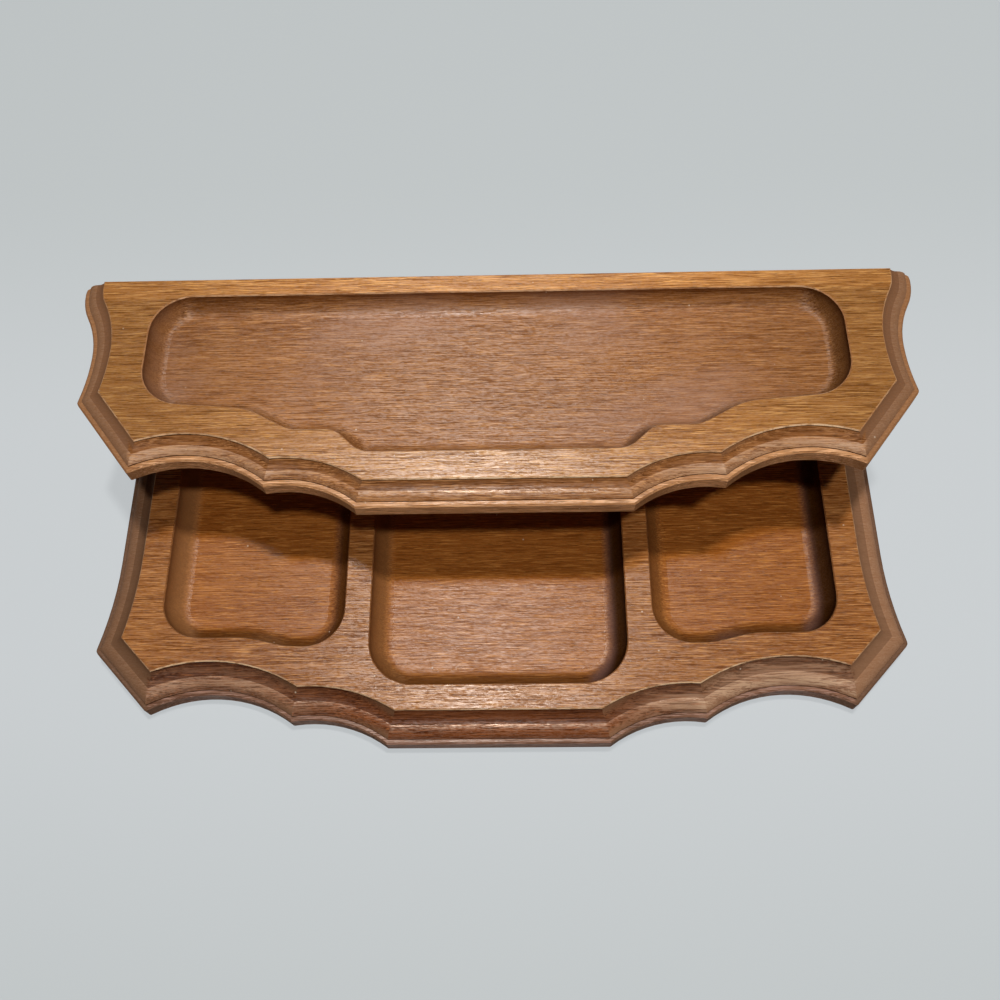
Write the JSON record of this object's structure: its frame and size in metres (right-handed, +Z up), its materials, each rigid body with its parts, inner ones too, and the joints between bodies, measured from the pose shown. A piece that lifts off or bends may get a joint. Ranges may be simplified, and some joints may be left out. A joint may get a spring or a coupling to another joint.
{
  "type": "valet tray",
  "caption": "Two-tier wooden valet tray: a deep lower board with routed pockets carries a shallow upper board with one long pocket on two short uprights; both have scalloped, moulded edges.",
  "frame": {"origin": "on the surface that the tray stands on, below the middle of its overall box", "axes": "+X to the right seen from the front, +Y from the front to the flat rear edge, +Z up"},
  "size_m": [0.3038, 0.1592, 0.0627],
  "materials": {
    "stained_wood": "satin lacquer over a reddish brown stain",
    "dowel_wood": "bare beech",
    "screw_steel": "zinc plated",
    "felt": "pressed felt"
  },
  "bodies": {
    "root": {"lower_tray": "stained_wood", "upper_tray": "stained_wood", "left_upright": "stained_wood", "right_upright": "stained_wood", "dowels": "dowel_wood", "screws": "screw_steel", "front_left_pad": "felt", "front_right_pad": "felt", "rear_left_pad": "felt", "rear_right_pad": "felt"}
  },
  "joints": []
}
